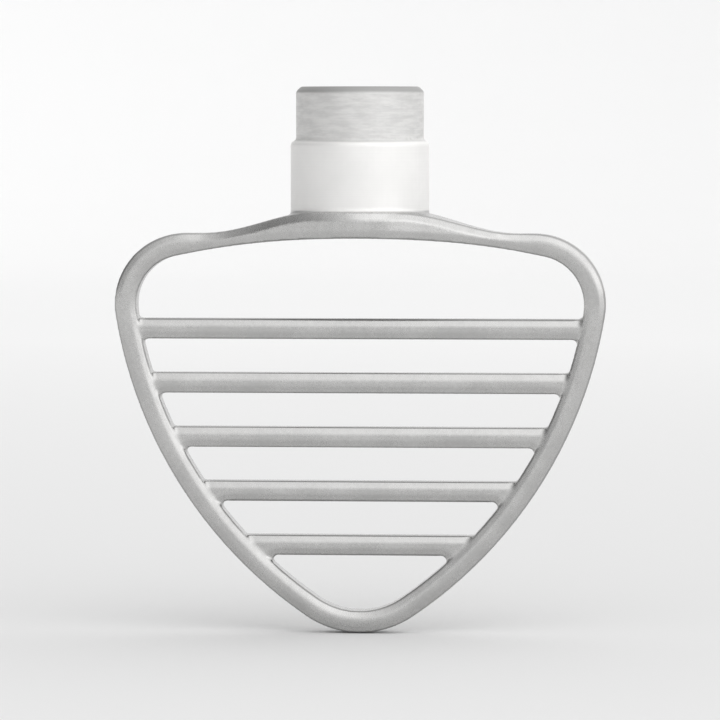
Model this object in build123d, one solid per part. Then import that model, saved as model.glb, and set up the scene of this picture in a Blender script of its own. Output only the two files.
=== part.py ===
from build123d import *
import os
from math import acos, atan2, cos, degrees, pi, radians, sin, sqrt

# Pastry beater for a stand mixer: one stainless steel casting, in millimetres.
# A bored hub stands on a saddle that flares out into two arms. The arms turn down into a
# shield-shaped frame, and five cutting bars run across it.
# +Z is up along the mixer shaft, and the origin is where the bore opens in the hub's top face.
# X runs across the frame, and the front faces -Y.

# Hub
collar_diameter = 35.4
collar_height = 15.0
collar_rim_chamfer = 1.4
barrel_diameter = 38.4
barrel_height = 19.4
barrel_edge_chamfer = 0.8
hub_foot_radius = 1.0

# Bore for the mixer shaft, blind and open at the top
shaft_diameter = 12.7
shaft_clearance = 0.1
bore_depth = 30.0
bore_mouth_chamfer = 0.4

# Bayonet slot for the drive pin, at the back: down from the rim, round under it, then up into a
# hook. Turns are in degrees about the axis, from the front towards +X.
pin_diameter = 4.8
pin_clearance = 0.6
slot_leg_drop = 11.4
slot_hook_rise = 3.6
slot_entry_turn = 210.0
slot_leg_turn = 57.0

# Saddle under the hub: it falls away into the arms between two distances from the axis
saddle_height = 7.1
saddle_ledge = 2.0
saddle_fall_start = 10.0
saddle_fall_end = 44.0

# Frame, outer outline
overall_height = 151.6
frame_span = 136.3
corner_radius = 19.7
corner_drop = 60.3
side_radius = 125.0
tip_radius = 26.4
frame_wall = 6.0
frame_depth = 8.0

# Cutting bars: they repeat downwards as far as leaves room for the lowest window
first_bar_drop = 67.1
bar_pitch = 15.05
lowest_window = 8.0
bar_height = 5.65
bar_depth = 6.0
bar_root_radius = 1.4
bar_seat_overlap = 0.05

# Shallow bevel along the edges of the frame, arms and bars: its reach across a front face, at most
# a share of that face's width, and its fall into the depth
bevel_reach = 2.0
bevel_share = 0.4
bevel_fall = 0.9

# Sections that shape each arm, and the corner from the angle at which the plain frame ends
arm_sections = 10
corner_sections = 6
corner_plain_end = 40.0


def bevel_of(*widths):
    """The bevel's reach and fall, kept in proportion, for the narrowest of some face widths."""
    reach = min(bevel_reach, bevel_share * min(widths))
    return reach, bevel_fall * reach / bevel_reach


def cast_section(depth, height):
    """A bevelled bar section: depth along its local X, height along its local Y."""
    reach, fall = bevel_of(height)
    front = depth / 2
    side = front - fall
    top = height / 2
    shoulder = top - reach
    right = [(front, -shoulder), (front, shoulder), (side, top)]
    left = [(-side, top), (-front, shoulder), (-front, -shoulder)]
    return Polygon(*right, *left, (-side, -top), (side, -top), align=None)


def flare(reach, start, end):
    """1 inside start, 0 beyond end, and a smooth cosine fall between them."""
    share = min(max((reach - start) / (end - start), 0.0), 1.0)
    return 0.5 * (1 + cos(pi * share))


# Heights along Z
slot_width = pin_diameter + 2 * pin_clearance
barrel_top = -collar_height
saddle_top = barrel_top - barrel_height
saddle_bottom = saddle_top - saddle_height

# Centres of the frame's arcs in the XZ plane. The side arc is inside tangent to the other two.
corner_centre = Vector(frame_span / 2 - corner_radius, 0, -corner_drop)
tip_centre = Vector(0, 0, tip_radius - overall_height)


def side_arc_centre():
    tip_gap = side_radius - tip_radius
    corner_gap = side_radius - corner_radius
    run = corner_centre - tip_centre
    apart = run.length
    turn = acos((apart**2 + tip_gap**2 - corner_gap**2) / (2 * apart * tip_gap))
    heading = atan2(run.Z, run.X) + turn
    return tip_centre + tip_gap * Vector(cos(heading), 0, sin(heading))


side_centre = side_arc_centre()


def heading_of(run):
    """The direction of a run in the XZ plane, in degrees from +X towards +Z."""
    return degrees(atan2(run.Z, run.X))


def arch_arc():
    """Centre and radius of the arms' underside, tangent to the insides of both corners."""
    inside_radius = corner_radius - frame_wall
    drop = corner_centre.Z - saddle_bottom
    chord = corner_centre.X**2 + drop**2 - inside_radius**2
    radius = chord / (-2 * (drop + inside_radius))
    return Vector(0, 0, saddle_bottom - radius), radius


arch_centre, arch_radius = arch_arc()
corner_to_side = heading_of(corner_centre - side_centre)
side_to_tip = heading_of(tip_centre - side_centre)
corner_to_arch = heading_of(corner_centre - arch_centre)


def arc_plane(centre, radius, angle):
    """The plane across an arc of the frame, with its local X along the frame's depth."""
    out = Vector(cos(radians(angle)), 0, sin(radians(angle)))
    along = Vector(-out.Z, 0, out.X)
    return Plane(origin=centre + radius * out, x_dir=(0, 1, 0), z_dir=along)


def frame_section(centre, outer_radius, angle):
    plane = arc_plane(centre, outer_radius - frame_wall / 2, angle)
    return plane * cast_section(frame_depth, frame_wall)


def frame_arc(centre, outer_radius, start, end):
    """One arc of the frame: its section turned about the arc's centre, from start to end."""
    section = frame_section(centre, outer_radius, start)
    return revolve(section, Axis(centre, (0, -1, 0)), end - start)


def front_plane(height):
    """The plane that faces the front, with its origin on the axis at a height."""
    return Plane(origin=(0, 0, height), x_dir=(1, 0, 0), z_dir=(0, -1, 0))


def inset_arc(centre, outer_radius, inset, start, end):
    """One arc of the frame's outline, drawn in by an inset, from start to end."""
    return front_plane(0) * CenterArc((centre.X, centre.Z), outer_radius - inset, start, end - start)


def frame_inside(inset):
    """The face inside the frame's outline, drawn in by an inset and closed under the arms."""
    right = [
        inset_arc(corner_centre, corner_radius, inset, corner_to_side, corner_to_arch),
        inset_arc(side_centre, side_radius, inset, side_to_tip, corner_to_side),
        inset_arc(tip_centre, tip_radius, inset, -90, side_to_tip),
    ]
    left = [mirror(arc, Plane.YZ) for arc in right]
    lid = Line(right[0] @ 1, left[0] @ 1)
    return make_face(Curve() + right + left + lid)


def make_frame():
    corner = frame_arc(corner_centre, corner_radius, corner_to_side, corner_plain_end)
    side = frame_arc(side_centre, side_radius, side_to_tip, corner_to_side)
    tip = frame_arc(tip_centre, tip_radius, -180 - side_to_tip, side_to_tip)
    half = corner + side
    return half + tip + mirror(half, Plane.YZ)


def arm_section(reach):
    """The section of an arm at a distance from the hub's axis, as a sketch in place."""
    corner_top = corner_centre.Z + corner_radius
    top = corner_top + (saddle_top - corner_top) * flare(reach, saddle_fall_start, saddle_fall_end)
    under = arch_centre.Z + sqrt(arch_radius**2 - reach**2)
    saddle_depth = barrel_diameter + 2 * saddle_ledge
    depth = frame_depth + (saddle_depth - frame_depth) * flare(reach, 0, saddle_fall_end)
    plane = Plane(origin=(reach, 0, (top + under) / 2), x_dir=(0, 1, 0), z_dir=(-1, 0, 0))
    return plane * cast_section(depth, top - under)


def make_arms():
    """Both arms and the saddle, lofted from one corner of the frame to the other."""
    turn = (corner_to_arch - corner_plain_end) / (corner_sections - 1)
    angles = [corner_plain_end + turn * count for count in range(corner_sections)]
    right = [frame_section(corner_centre, corner_radius, angle) for angle in angles]
    step = corner_centre.X / arm_sections
    right += [arm_section(step * count) for count in range(arm_sections, 0, -1)]
    left = [mirror(sketch, Plane.YZ) for sketch in reversed(right)]
    return loft(right + [arm_section(0)] + left)


def bar_levels():
    """The heights of the bars' middles, from the top bar down."""
    room = overall_height - frame_wall - lowest_window - bar_height / 2 - first_bar_drop
    count = 1 + int(room / bar_pitch)
    return [-first_bar_drop - bar_pitch * number for number in range(count)]


def make_windows(levels):
    """The windows above, between and below the bars, with a round corner at each bar's root."""
    windows = frame_inside(frame_wall - bar_seat_overlap)
    for level in levels:
        windows -= front_plane(level) * Rectangle(frame_span, bar_height)
    cores = offset(windows, -bar_root_radius, kind=Kind.INTERSECTION)
    return offset(cores, bar_root_radius, kind=Kind.ARC)


def make_bars():
    """The cutting bars: a plate that reaches into the frame's wall, cut by windows.

    The bevel along a bar's edge runs on round the window's smooth corners.
    """
    levels = bar_levels()
    reach, fall = bevel_of(bar_height, frame_wall)
    plate = frame_inside(frame_wall / 2) - make_windows(levels)
    bars = extrude(plate, bar_depth / 2, both=True)
    for side in (0, -1):
        for number in range(len(levels) + 1):
            face = bars.faces().filter_by(Axis.Y).sort_by(Axis.Y)[side]
            rim = face.inner_wires().sort_by(Axis.Z)[number]
            bar_edge = rim.edges().filter_by(GeomType.LINE).sort_by(Axis.Z)[0]
            bars = chamfer(bar_edge, reach, fall, reference=face)
    top = levels[0] + bar_height / 2 + bar_root_radius + reach
    return split(bars, Plane(origin=(0, 0, top), z_dir=(0, 0, 1)), Keep.BOTTOM)


def make_hub():
    """The collar and barrel, turned about the axis, with the barrel sunk into the saddle."""
    collar_radius = collar_diameter / 2
    barrel_radius = barrel_diameter / 2
    foot = saddle_top - saddle_height / 2
    outline = Polyline(
        (0, 0, foot),
        (0, 0, 0),
        (collar_radius, 0, 0),
        (collar_radius, 0, barrel_top),
        (barrel_radius, 0, barrel_top),
        (barrel_radius, 0, foot),
        close=True,
    )
    profile = make_face(outline)
    rim = profile.vertices().sort_by_distance((collar_radius, 0, 0))[0]
    profile = chamfer(rim, collar_rim_chamfer)
    shoulder = profile.vertices().sort_by_distance((barrel_radius, 0, barrel_top))[0]
    profile = chamfer(shoulder, barrel_edge_chamfer)
    return revolve(profile, Axis.Z)


def hub_direction(turn):
    """The level direction at a turn about the axis, in degrees from the front towards +X."""
    return Vector(sin(radians(turn)), -cos(radians(turn)), 0)


def pin_path(turn, top, bottom):
    """A straight stretch of the slot, cut outwards from the axis, with round ends."""
    plane = Plane(origin=(0, 0, (top + bottom) / 2), x_dir=(0, 0, 1), z_dir=hub_direction(turn))
    return extrude(plane * SlotCenterToCenter(top - bottom, slot_width), barrel_diameter)


def make_slot():
    """The bayonet slot through the hub's wall."""
    leg = -slot_leg_drop
    hook_turn = slot_entry_turn - slot_leg_turn
    entry = pin_path(slot_entry_turn, slot_width, leg)
    hook = pin_path(hook_turn, leg + slot_hook_rise, leg)
    outwards = hub_direction(hook_turn)
    plane = Plane(origin=(0, 0, leg), x_dir=outwards, z_dir=outwards.cross(Vector(0, 0, 1)))
    section = plane * Pos(barrel_diameter / 2, 0) * Rectangle(barrel_diameter, slot_width)
    return entry + hook + revolve(section, Axis.Z, slot_leg_turn)


def make_bore():
    bore_radius = shaft_diameter / 2 + shaft_clearance
    bore = Pos(0, 0, -bore_depth / 2) * Cylinder(bore_radius, bore_depth)
    mouth = Cone(bore_radius, bore_radius + bore_mouth_chamfer, bore_mouth_chamfer)
    return bore + Pos(0, 0, -bore_mouth_chamfer / 2) * mouth


def make_beater():
    body = make_frame() + make_arms() + make_bars()
    hub = make_hub()
    joined = body + hub
    foot = new_edges(body, hub, combined=joined)
    return fillet(foot, hub_foot_radius) - make_slot() - make_bore()


os.makedirs("parts", exist_ok=True)
export_step(make_beater(), "parts/pastry_beater.step")
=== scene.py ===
import math

import bpy
import numpy as np
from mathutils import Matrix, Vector


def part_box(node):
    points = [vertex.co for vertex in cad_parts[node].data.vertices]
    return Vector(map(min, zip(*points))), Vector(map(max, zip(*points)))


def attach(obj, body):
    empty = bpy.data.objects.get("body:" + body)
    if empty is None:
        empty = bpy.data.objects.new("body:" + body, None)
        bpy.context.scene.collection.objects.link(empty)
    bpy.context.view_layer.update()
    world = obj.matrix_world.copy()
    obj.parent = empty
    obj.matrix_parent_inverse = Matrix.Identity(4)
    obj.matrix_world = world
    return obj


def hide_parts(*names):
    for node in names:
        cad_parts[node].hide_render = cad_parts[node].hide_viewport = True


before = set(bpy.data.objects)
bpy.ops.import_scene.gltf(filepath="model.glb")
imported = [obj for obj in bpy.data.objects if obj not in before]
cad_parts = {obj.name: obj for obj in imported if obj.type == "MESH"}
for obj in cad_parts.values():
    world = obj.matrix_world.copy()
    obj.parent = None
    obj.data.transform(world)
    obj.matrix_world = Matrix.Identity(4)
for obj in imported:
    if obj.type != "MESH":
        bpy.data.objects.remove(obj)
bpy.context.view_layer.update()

# Metres, in the frame of the part: the axis of the hub is Z and the top of the hub is at z = 0.
COLLAR_FOOT = -0.0150
BARREL_FOOT = -0.0344
FLOOR_LEVEL = -0.1518

# The rounded casting: the grid it is rebuilt on, how often it is smoothed, and its triangles.
GRID = 0.00042
ROUNDING_PASSES = 24
TRIANGLES = 180000

# The camera: what it looks at, where it stands, and the width that it takes in at the part.
AIM = (0.0, 0.0, -0.0758)
EYE = (0.0795, -1.19, -0.0060)
FIELD = 0.200
SENSOR = 36.0

# The floor: how far it is flat, the radius of its bend, the wall's top, and its steps around.
FLOOR_FLAT = 2.5
FLOOR_BEND = 0.32
FLOOR_TOP = 0.38
FLOOR_STEPS = 96

scene = bpy.context.scene
scene.view_settings.view_transform = "Standard"


# The casting: the solid with its edges rounded, as a casting comes out of tumbling.

def smoothed(points, edges, steps):
    """Points after being drawn towards, or for a negative step away from, their neighbours' mean."""
    count = len(points)
    ends = np.concatenate([edges[:, 0], edges[:, 1]])
    others = np.concatenate([edges[:, 1], edges[:, 0]])
    share = 1.0 / np.maximum(np.bincount(ends, minlength=count), 1)
    for step in steps:
        mean = np.stack([np.bincount(ends, points[others, k], count) * share for k in range(3)], axis=1)
        points = points + step * (mean - points)
    return points


def applied(piece, kind, **settings):
    """The mesh of a piece after one modifier."""
    modifier = piece.modifiers.new("step", kind)
    for key, value in settings.items():
        setattr(modifier, key, value)
    mesh = bpy.data.meshes.new_from_object(piece.evaluated_get(bpy.context.evaluated_depsgraph_get()))
    piece.modifiers.clear()
    return mesh


def soft_casting(node, name, voxel, passes, triangles):
    """A copy of a solid with small facets and rounded edges, inside the solid's own box.

    Its attribute relief is the height of each point above its smoothed surroundings, in millimetres:
    positive along edges, negative in roots and corners. The steel material paints shade from it along
    edges and in roots.
    """
    piece = bpy.data.objects.new(name, node.data.copy())
    scene.collection.objects.link(piece)
    piece.data = applied(piece, "REMESH", mode="VOXEL", voxel_size=voxel)
    mesh = piece.data
    points = np.empty(len(mesh.vertices) * 3)
    mesh.vertices.foreach_get("co", points)
    edges = np.empty(len(mesh.edges) * 2, dtype=np.int32)
    mesh.edges.foreach_get("vertices", edges)
    edges = edges.reshape(-1, 2)
    # Alternate steps round small features and keep the larger form from shrinking.
    points = smoothed(points.reshape(-1, 3), edges, [0.5, -0.53] * passes)
    points = np.clip(points, *(np.array(corner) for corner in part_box(node.name)))
    mesh.vertices.foreach_set("co", points.ravel())
    mesh.update()
    normals = np.empty(len(points) * 3)
    mesh.vertex_normals.foreach_get("vector", normals)
    above = points - smoothed(points, edges, [0.5] * 24)
    relief = 1000 * (above * normals.reshape(-1, 3)).sum(axis=1)
    relief = smoothed(relief[:, None].repeat(3, axis=1), edges, [0.5] * 4)[:, 0]
    mesh.attributes.new("relief", "FLOAT", "POINT").data.foreach_set("value", relief)
    piece.data = applied(piece, "DECIMATE", ratio=triangles / (2 * len(mesh.polygons)))
    piece.data.materials.clear()
    piece.data.polygons.foreach_set("use_smooth", [True] * len(piece.data.polygons))
    return piece


casting = soft_casting(
    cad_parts["pastry_beater"], "beater_casting", GRID, ROUNDING_PASSES, TRIANGLES
)
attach(casting, "root")
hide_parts("pastry_beater")


# Materials.

class Tree:
    """A small builder for shader nodes."""

    def __init__(self, tree):
        self.tree = tree
        self.tree.nodes.clear()

    def node(self, kind, inputs=None, **settings):
        made = self.tree.nodes.new(kind)
        for key, value in settings.items():
            setattr(made, key, value)
        for key, value in (inputs or {}).items():
            self.feed(made.inputs[key], value)
        return made

    def feed(self, socket, value):
        if isinstance(value, bpy.types.NodeSocket):
            self.tree.links.new(value, socket)
        else:
            socket.default_value = value

    def math(self, operation, a, b=0.0):
        return self.node("ShaderNodeMath", {0: a, 1: b}, operation=operation).outputs[0]

    def ramp(self, value, low, high, to_low=0.0, to_high=1.0, smooth=True):
        made = self.node(
            "ShaderNodeMapRange",
            {"Value": value, "From Min": low, "From Max": high, "To Min": to_low, "To Max": to_high},
            interpolation_type="SMOOTHSTEP" if smooth else "LINEAR",
        )
        return made.outputs["Result"]

    def vary(self, noise, low, high):
        """A value that follows a noise between two limits."""
        return self.ramp(noise, 0.3, 0.7, low, high)

    def mix(self, share, a, b):
        made = self.node("ShaderNodeMix", {"Factor": share, "A": a, "B": b}, data_type="FLOAT")
        return made.outputs["Result"]

    def noise(self, vector, scale, detail, roughness):
        made = self.node(
            "ShaderNodeTexNoise",
            {"Vector": vector, "Scale": scale, "Detail": detail, "Roughness": roughness},
        )
        return made.outputs["Fac"]


def steel_material():
    """Satin cast steel, with a turned collar and a bright polished barrel at the hub, and painted shade
    along edges, in roots and on the collar's rim.
    """
    material = bpy.data.materials.new("satin_cast_steel")
    material.use_nodes = True
    t = Tree(material.node_tree)
    place = t.node("ShaderNodeTexCoord").outputs["Object"]
    mm = t.node("ShaderNodeVectorMath", {0: place, "Scale": 1000.0}, operation="SCALE").outputs[0]
    axis = t.node("ShaderNodeSeparateXYZ", {0: mm})
    x, y, z = axis.outputs
    radius = t.math("SQRT", t.math("ADD", t.math("MULTIPLY", x, x), t.math("MULTIPLY", y, y)))

    # Where the collar, its chamfered rim and the barrel are.
    collar_foot = COLLAR_FOOT * 1000
    barrel_foot = BARREL_FOOT * 1000
    near_axis = t.ramp(radius, 19.7, 20.1, 1.0, 0.0)
    hub = t.math("MULTIPLY", near_axis, t.ramp(z, barrel_foot - 0.2, barrel_foot + 0.6))
    collar = t.math("MULTIPLY", hub, t.ramp(z, collar_foot - 0.3, collar_foot + 0.3))
    barrel = t.math("SUBTRACT", hub, collar)
    rim = t.math("MULTIPLY", t.ramp(z, -2.0, -1.2), t.ramp(radius, 15.2, 16.2))

    # Cloudy polish, mottle and grain of the casting, and the masks of its edges and roots, where shade
    # is painted.
    clouds = t.noise(mm, 0.09, 3.0, 0.55)
    mottle = t.noise(mm, 0.7, 3.0, 0.6)
    grain = t.noise(mm, 3.2, 3.0, 0.6)
    relief = t.node("ShaderNodeAttribute", attribute_name="relief").outputs["Fac"]
    edge = t.ramp(relief, 0.15, 0.23)
    root = t.ramp(relief, -0.06, -0.22)

    # Lines and smears that turning leaves round the hub.
    across = t.math("MULTIPLY", radius, 5.0)
    along = t.math("MULTIPLY", z, 5.0)
    ring_place = t.node("ShaderNodeCombineXYZ", {0: across, 2: along}).outputs[0]
    turned = t.noise(ring_place, 1.0, 4.0, 0.7)
    drawn_out = t.node("ShaderNodeVectorMath", {0: mm, 1: (0.18, 0.18, 0.75)}, operation="MULTIPLY")
    smears = t.noise(drawn_out.outputs[0], 1.0, 4.0, 0.6)

    cast_grey = t.math("ADD", t.vary(clouds, 0.50, 0.55), t.vary(mottle, -0.015, 0.015))
    cast_grey = t.math("ADD", cast_grey, t.vary(grain, -0.012, 0.012))
    # Painted shade: the cast grey is darkened towards 0.37 along edges and towards 0.40 in roots and
    # corners.
    cast_grey = t.mix(edge, cast_grey, 0.37)
    cast_grey = t.mix(t.math("MULTIPLY", root, 0.6), cast_grey, 0.40)
    collar_grey = t.math("ADD", t.vary(turned, 0.70, 0.76), t.vary(smears, -0.05, 0.05))
    # Painted shade: the collar grey is darkened towards 0.46 along its edges and on its chamfered rim.
    collar_grey = t.mix(t.math("MAXIMUM", edge, rim), collar_grey, 0.46)
    barrel_grey = t.math("ADD", t.vary(turned, 0.88, 0.92), t.vary(clouds, -0.015, 0.015))
    grey = t.mix(barrel, t.mix(collar, cast_grey, collar_grey), barrel_grey)
    green = t.math("MULTIPLY", grey, 0.995)
    blue = t.math("MULTIPLY", grey, 0.985)
    colour = t.node("ShaderNodeCombineColor", {0: grey, 1: green, 2: blue})

    cast_rough = t.math("ADD", t.vary(clouds, 0.24, 0.30), t.vary(grain, -0.03, 0.03))
    cast_rough = t.mix(edge, cast_rough, 0.30)
    rough = t.mix(hub, cast_rough, t.vary(turned, 0.60, 0.70))

    cast_height = t.math("ADD", t.math("MULTIPLY", grain, 0.35), t.math("MULTIPLY", mottle, 0.65))
    height = t.mix(hub, cast_height, t.math("MULTIPLY", turned, 0.35))
    bump = t.node("ShaderNodeBump", {"Strength": 0.35, "Distance": 0.00003, "Height": height})
    shader = t.node(
        "ShaderNodeBsdfPrincipled",
        {
            "Base Color": colour.outputs[0],
            "Metallic": 1.0,
            "Roughness": rough,
            "Normal": bump.outputs[0],
        },
    )
    t.node("ShaderNodeOutputMaterial", {"Surface": shader.outputs[0]})
    return material


casting.data.materials.append(steel_material())


# The stage: a pale floor, with shade painted as darker grey near the part, running into a paler
# distance.

def floor_profile():
    """Radius and height of the floor, which curves up into a low wall far from the part."""
    points = [(0.3, 0.0), (1.2, 0.0), (FLOOR_FLAT, 0.0)]
    bend_steps = 8
    for step in range(1, bend_steps + 1):
        angle = math.pi / 2 * step / bend_steps
        out = FLOOR_FLAT + FLOOR_BEND * math.sin(angle)
        points.append((out, FLOOR_BEND - FLOOR_BEND * math.cos(angle)))
    points.append((FLOOR_FLAT + FLOOR_BEND, FLOOR_TOP))
    return points


def floor_mesh():
    """The floor's profile turned about the axis."""
    around = FLOOR_STEPS
    rings = floor_profile()
    vertices = [(0.0, 0.0, FLOOR_LEVEL)]
    for radius, height in rings:
        for step in range(around):
            angle = 2 * math.pi * step / around
            x, y = radius * math.cos(angle), radius * math.sin(angle)
            vertices.append((x, y, FLOOR_LEVEL + height))
    faces = [(0, 1 + step, 1 + (step + 1) % around) for step in range(around)]
    for ring in range(len(rings) - 1):
        inner = 1 + ring * around
        outer = inner + around
        for step in range(around):
            after = (step + 1) % around
            faces.append((inner + step, outer + step, outer + after, inner + after))
    mesh = bpy.data.meshes.new("floor")
    mesh.from_pydata(vertices, [], faces)
    for polygon in mesh.polygons:
        polygon.use_smooth = True
    return mesh


def floor_material():
    """A matt grey with painted shade: darker near the part and paler away from it."""
    material = bpy.data.materials.new("pale_floor")
    material.use_nodes = True
    t = Tree(material.node_tree)
    place = t.node("ShaderNodeTexCoord").outputs["Object"]
    foot = (0.0, 0.0, FLOOR_LEVEL)
    away = t.node("ShaderNodeVectorMath", {0: place, 1: foot}, operation="DISTANCE")
    # Painted shade: the floor is 0.80 grey at the part's foot and grows to 0.93 grey 1.5 m away.
    pale = t.ramp(away.outputs["Value"], 0.10, 1.50, 0.80, 0.93, smooth=False)
    colour = t.node("ShaderNodeCombineColor", {0: pale, 1: pale, 2: pale})
    matt = t.node("ShaderNodeBsdfDiffuse", {"Color": colour.outputs[0]})
    t.node("ShaderNodeOutputMaterial", {"Surface": matt.outputs[0]})
    return material


floor = bpy.data.objects.new("floor", floor_mesh())
scene.collection.objects.link(floor)
floor.data.materials.append(floor_material())


# Soft studio light.

def make_world():
    """A soft surround: brighter above, on the right and in front of the part, and dim on the left."""
    world = bpy.data.worlds.new("studio")
    scene.world = world
    world.use_nodes = True
    t = Tree(world.node_tree)
    direction = t.node("ShaderNodeTexCoord").outputs["Generated"]

    def towards(way):
        dot = t.node("ShaderNodeVectorMath", {0: direction, 1: way}, operation="DOT_PRODUCT")
        return dot.outputs["Value"]

    def lobe(way, strength):
        facing = t.math("MAXIMUM", towards(way), 0.0)
        return t.math("MULTIPLY", t.math("POWER", facing, 2.0), strength)

    level = t.math("ADD", towards((0.30, 0.0, 0.12)), 0.90)
    level = t.math("ADD", level, lobe((0.55, -0.83, 0.10), 0.35))
    level = t.math("SUBTRACT", level, lobe((-0.99, 0.10, 0.10), 0.42))
    sky = t.node("ShaderNodeBackground", {"Color": (1.0, 1.0, 1.0, 1.0), "Strength": level})
    t.node("ShaderNodeOutputWorld", {"Surface": sky.outputs[0]})


def softbox(name, place, size, brightness):
    """An area lamp of a stated radiance, aimed at the middle of the part."""
    light = bpy.data.lights.new(name, "AREA")
    light.shape = "RECTANGLE"
    light.size, light.size_y = size
    light.energy = brightness * math.pi * size[0] * size[1]
    lamp = bpy.data.objects.new(name, light)
    scene.collection.objects.link(lamp)
    lamp.location = place
    lamp.rotation_euler = (Vector(AIM) - Vector(place)).to_track_quat("-Z", "Y").to_euler()


make_world()
softbox("key", (0.25, -0.85, 1.00), (1.0, 1.0), 0.35)
softbox("side", (0.85, -0.65, 0.10), (0.6, 0.6), 0.4)


# The camera, where the photograph was taken from.

camera_data = bpy.data.cameras.new("camera")
camera = bpy.data.objects.new("camera", camera_data)
scene.collection.objects.link(camera)
camera.location = EYE
sight = Vector(AIM) - Vector(EYE)
camera.rotation_euler = sight.to_track_quat("-Z", "Y").to_euler()
camera_data.sensor_width = SENSOR
camera_data.lens = SENSOR * sight.length / FIELD
scene.camera = camera
